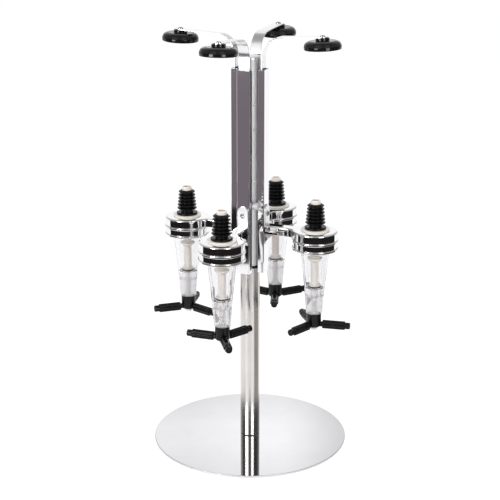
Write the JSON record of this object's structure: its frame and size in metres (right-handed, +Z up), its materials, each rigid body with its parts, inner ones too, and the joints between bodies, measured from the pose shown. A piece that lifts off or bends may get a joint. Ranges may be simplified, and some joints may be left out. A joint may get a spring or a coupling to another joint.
{
  "type": "rotary liquor dispenser",
  "caption": "Rotary liquor dispenser: a turning column on a round base and pole, with sprung arms that hold upturned bottles over clear spirit measures with push-up levers.",
  "frame": {"origin": "middle of the underside of the base, on the surface that it stands on", "axes": "+Z up along the pole and column; measure 1 is on -Y, measure 2 on +X, 3 on +Y and 4 on -X"},
  "size_m": [0.3095, 0.3029, 0.6369],
  "materials": {
    "polished_steel": "mirror polished",
    "brushed_steel": "satin, drawn lengthwise",
    "chrome": "bright plated",
    "spring_wire": "drawn wire",
    "black_rubber": "moulded, slight sheen",
    "black_plastic": "moulded gloss",
    "cream_plastic": "moulded, slight gloss",
    "white_plastic": "machined",
    "clear_plastic": "clear, polished"
  },
  "bodies": {
    "stand": {"base_plate": "polished_steel", "base_pad": "black_rubber", "pole": "brushed_steel", "pole_plug": "brushed_steel", "base_screw": "brushed_steel", "pole_bush": "black_plastic", "mast": "brushed_steel"},
    "head": {"column_tube": "brushed_steel", "column_bushes": "white_plastic", "column_cap": "chrome", "retaining_bolt": "chrome", "bracket_screws": "chrome", "retaining_rings": "chrome", "caps": "cream_plastic", "stoppers": "black_rubber", "channel_1": "chrome", "channel_2": "chrome", "channel_3": "chrome", "channel_4": "chrome", "bracket_1": "chrome", "bracket_2": "chrome", "bracket_3": "chrome", "bracket_4": "chrome", "chamber_1": "clear_plastic", "chamber_2": "clear_plastic", "chamber_3": "clear_plastic", "chamber_4": "clear_plastic", "arm_spring_1": "spring_wire", "arm_spring_2": "spring_wire", "arm_spring_3": "spring_wire", "arm_spring_4": "spring_wire", "valve_spring_1": "spring_wire", "valve_spring_2": "spring_wire", "valve_spring_3": "spring_wire", "valve_spring_4": "spring_wire"},
    "arm_1": {"arm_strip_1": "polished_steel", "pad_1": "black_rubber", "pad_screw_1": "chrome"},
    "valve_1": {"spindle_1": "cream_plastic", "seal_1": "black_rubber"},
    "lever_1": {"lever_1": "black_plastic"},
    "arm_2": {"arm_strip_2": "polished_steel", "pad_2": "black_rubber", "pad_screw_2": "chrome"},
    "valve_2": {"spindle_2": "cream_plastic", "seal_2": "black_rubber"},
    "lever_2": {"lever_2": "black_plastic"},
    "arm_3": {"arm_strip_3": "polished_steel", "pad_3": "black_rubber", "pad_screw_3": "chrome"},
    "valve_3": {"spindle_3": "cream_plastic", "seal_3": "black_rubber"},
    "lever_3": {"lever_3": "black_plastic"},
    "arm_4": {"arm_strip_4": "polished_steel", "pad_4": "black_rubber", "pad_screw_4": "chrome"},
    "valve_4": {"spindle_4": "cream_plastic", "seal_4": "black_rubber"},
    "lever_4": {"lever_4": "black_plastic"}
  },
  "joints": [
    {"name": "head_turn", "type": "hinge", "parent": "stand", "child": "head", "pos_m": [0, 0, 0], "axis": [0, 0, 1], "continuous": true},
    {"name": "arm_lift_1", "type": "slide", "parent": "head", "child": "arm_1", "axis": [0, 0, 1], "range_m": [0, 0.085], "stiffness_N_per_m": 100, "springref_m": -0.04, "deforming": ["arm_spring_1"]},
    {"name": "valve_push_1", "type": "slide", "parent": "head", "child": "valve_1", "axis": [0, 0, 1], "range_m": [0, 0.008], "stiffness_N_per_m": 300, "springref_m": -0.005, "deforming": ["valve_spring_1"]},
    {"name": "lever_spin_1", "type": "hinge", "parent": "valve_1", "child": "lever_1", "pos_m": [0, -0.1045, 0], "axis": [0, 0, 1], "continuous": true},
    {"name": "arm_lift_2", "type": "slide", "parent": "head", "child": "arm_2", "axis": [0, 0, 1], "range_m": [0, 0.085], "stiffness_N_per_m": 100, "springref_m": -0.04, "deforming": ["arm_spring_2"]},
    {"name": "valve_push_2", "type": "slide", "parent": "head", "child": "valve_2", "axis": [0, 0, 1], "range_m": [0, 0.008], "stiffness_N_per_m": 300, "springref_m": -0.005, "deforming": ["valve_spring_2"]},
    {"name": "lever_spin_2", "type": "hinge", "parent": "valve_2", "child": "lever_2", "pos_m": [0.1045, 0, 0], "axis": [0, 0, 1], "continuous": true},
    {"name": "arm_lift_3", "type": "slide", "parent": "head", "child": "arm_3", "axis": [0, 0, 1], "range_m": [0, 0.085], "stiffness_N_per_m": 100, "springref_m": -0.04, "deforming": ["arm_spring_3"]},
    {"name": "valve_push_3", "type": "slide", "parent": "head", "child": "valve_3", "axis": [0, 0, 1], "range_m": [0, 0.008], "stiffness_N_per_m": 300, "springref_m": -0.005, "deforming": ["valve_spring_3"]},
    {"name": "lever_spin_3", "type": "hinge", "parent": "valve_3", "child": "lever_3", "pos_m": [0, 0.1045, 0], "axis": [0, 0, 1], "continuous": true},
    {"name": "arm_lift_4", "type": "slide", "parent": "head", "child": "arm_4", "axis": [0, 0, 1], "range_m": [0, 0.085], "stiffness_N_per_m": 100, "springref_m": -0.04, "deforming": ["arm_spring_4"]},
    {"name": "valve_push_4", "type": "slide", "parent": "head", "child": "valve_4", "axis": [0, 0, 1], "range_m": [0, 0.008], "stiffness_N_per_m": 300, "springref_m": -0.005, "deforming": ["valve_spring_4"]},
    {"name": "lever_spin_4", "type": "hinge", "parent": "valve_4", "child": "lever_4", "pos_m": [-0.1045, 0, 0], "axis": [0, 0, 1], "continuous": true}
  ]
}
